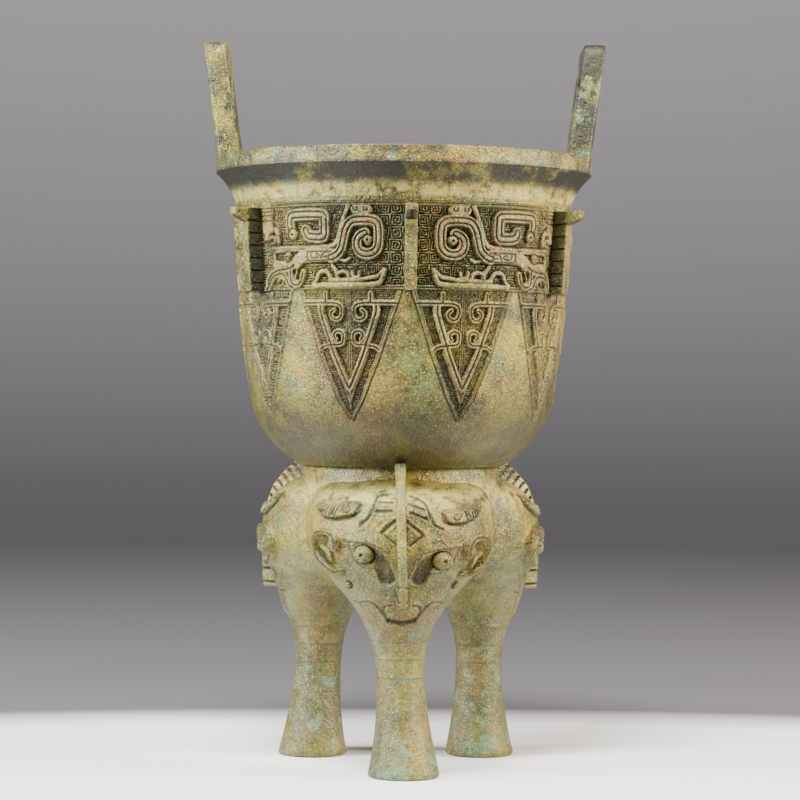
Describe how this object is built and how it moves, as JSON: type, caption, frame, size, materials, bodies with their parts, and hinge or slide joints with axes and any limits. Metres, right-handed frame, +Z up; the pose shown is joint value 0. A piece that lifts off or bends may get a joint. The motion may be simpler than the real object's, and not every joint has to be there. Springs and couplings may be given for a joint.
{
  "type": "bronze steamer vessel",
  "caption": "Tall cast bronze steamer vessel: a deep bowl with a flared rim, upright loop ears, flanges and a relief band, on a lobed tripod with beast masks and column legs.",
  "frame": {"origin": "on the floor, on the bowl's axis, midway between the three feet", "axes": "+Z up along the bowl's axis; the front leg stands toward -Y; the ears stand near +X and -X"},
  "size_m": [0.2798, 0.2724, 0.5],
  "materials": {
    "patinated_bronze": "cast bronze under a satin olive and grey-green patina, with verdigris, rust-brown spots and dark recesses"
  },
  "bodies": {
    "root": {"steamer_vessel": "patinated_bronze"}
  },
  "joints": []
}
